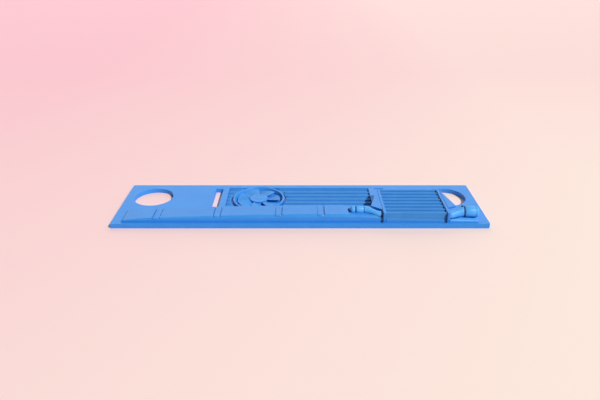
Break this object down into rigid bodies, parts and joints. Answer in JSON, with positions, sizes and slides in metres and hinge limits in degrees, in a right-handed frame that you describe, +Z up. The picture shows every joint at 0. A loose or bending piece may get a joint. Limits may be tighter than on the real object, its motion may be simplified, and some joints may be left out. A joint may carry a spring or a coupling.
{
  "type": "flow counting chamber slide",
  "caption": "Slide-format flow counting chamber: thin plate with two round holes, finned channel with a small fan, crowned front rail and a ribbed cartridge with tube fittings.",
  "frame": {"origin": "middle of the plate's underside", "axes": "+X along the slide to the cartridge end, -Y the front edge with the rail, +Z up"},
  "size_m": [0.076, 0.0184, 0.0036],
  "materials": {
    "plate_blue": "satin moulded blue",
    "rail_blue": "satin moulded blue",
    "rib_blue": "matt moulded blue",
    "fitting_blue": "smooth glossy blue",
    "gasket_rubber": "dull dark blue",
    "spindle_steel": "fine turned"
  },
  "bodies": {
    "root": {"base_plate": "plate_blue", "fin_tray": "rib_blue", "fan_ring": "rail_blue", "thrust_washer": "spindle_steel", "fan_spindle": "spindle_steel", "front_rail": "rail_blue", "rail_tail": "rail_blue", "cartridge_case": "rib_blue", "left_end_wall": "rail_blue", "right_end_wall": "rail_blue", "left_gasket": "gasket_rubber", "right_gasket": "gasket_rubber", "left_hood": "plate_blue", "right_hood": "plate_blue", "inlet_collar": "gasket_rubber", "inlet_tube": "fitting_blue", "inlet_bend": "fitting_blue", "outlet_neck": "fitting_blue", "outlet_collar": "gasket_rubber", "bleed_screw": "fitting_blue", "rail_strap_1": "rib_blue", "rail_strap_2": "rib_blue", "rail_strap_3": "rib_blue", "rail_strap_4": "rib_blue", "cartridge_rib_1": "rib_blue", "cartridge_rib_2": "rib_blue", "cartridge_rib_3": "rib_blue", "cartridge_rib_4": "rib_blue", "cartridge_rib_5": "rib_blue", "cartridge_rib_6": "rib_blue", "cartridge_rib_7": "rib_blue", "cartridge_rib_8": "rib_blue"},
    "fan": {"impeller": "fitting_blue", "hub_cap": "fitting_blue", "hub_bush": "spindle_steel"},
    "outlet_cap": {"outlet_cap": "fitting_blue"},
    "inlet_plug": {"inlet_plug": "fitting_blue"}
  },
  "joints": [
    {"name": "fan_spin", "type": "hinge", "parent": "root", "child": "fan", "pos_m": [-0.009, 0.0027, 0.0006], "axis": [0, 0, 1], "continuous": true},
    {"name": "outlet_cap_turn", "type": "hinge", "parent": "root", "child": "outlet_cap", "pos_m": [0.035, -0.0061, 0.00223], "axis": [1, 0, 0], "range_deg": [0, 90]},
    {"name": "inlet_plug_turn", "type": "hinge", "parent": "root", "child": "inlet_plug", "pos_m": [0.0107, -0.00641, 0.00286], "axis": [1, 0, 0], "range_deg": [0, 90]}
  ]
}
